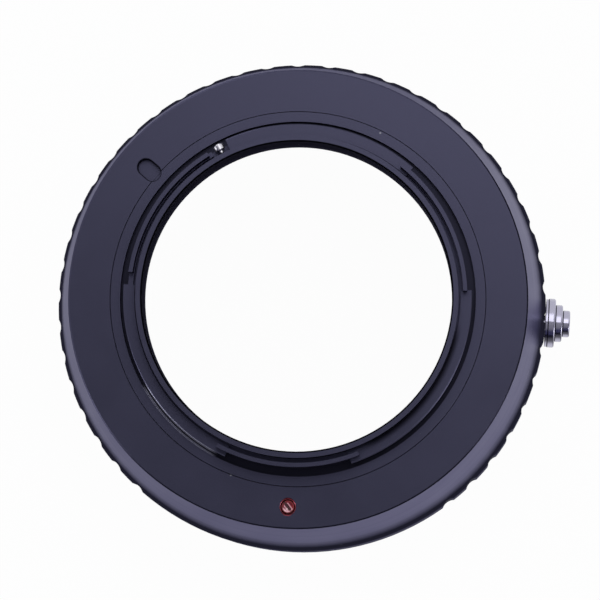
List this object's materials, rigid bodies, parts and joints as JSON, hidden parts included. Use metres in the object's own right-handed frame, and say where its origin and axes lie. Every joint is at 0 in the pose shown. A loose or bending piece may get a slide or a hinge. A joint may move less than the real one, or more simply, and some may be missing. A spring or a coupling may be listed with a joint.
{
  "type": "lens mount adapter",
  "caption": "Black tapered adapter ring with a male bayonet on the camera side, a fluted grip, and a chromed knob that releases the sprung lens lock pin.",
  "frame": {"origin": "on the optical axis, in the plane of the camera seat", "axes": "+Z along the optical axis towards the camera, +X towards the release knob, the index mark at -Y"},
  "size_m": [0.0685, 0.0652, 0.0337],
  "materials": {
    "black_anodised": "satin black anodised",
    "black_bayonet": "satin black anodised, turned",
    "bright_steel": "turned bright steel",
    "dark_screw_steel": "blackened steel",
    "red_paint": "red enamel",
    "mount_chrome": "satin chrome",
    "knob_chrome": "polished chrome",
    "spring_bronze": "rolled bronze sheet",
    "spring_steel": "drawn wire"
  },
  "bodies": {
    "adapter": {"main_body": "black_anodised", "camera_bayonet": "black_bayonet", "stop_pin": "bright_steel", "index_screw": "red_paint", "bayonet_ring_screws": "dark_screw_steel", "lens_mount_ring": "mount_chrome", "mount_ring_screws": "bright_steel", "leaf_spring_1": "spring_bronze", "leaf_spring_2": "spring_bronze", "leaf_spring_3": "spring_bronze", "leaf_spring_screws": "bright_steel", "lock_spring": "spring_steel", "lens_index_dot": "red_paint"},
    "release": {"lock_pin": "bright_steel", "release_knob": "knob_chrome", "knob_washer": "knob_chrome"}
  },
  "joints": [
    {"name": "release_slide", "type": "slide", "parent": "adapter", "child": "release", "axis": [0, 0, 1], "range_m": [0, 0.002], "stiffness_N_per_m": 400, "springref_m": -0.002, "deforming": ["lock_spring"]}
  ]
}
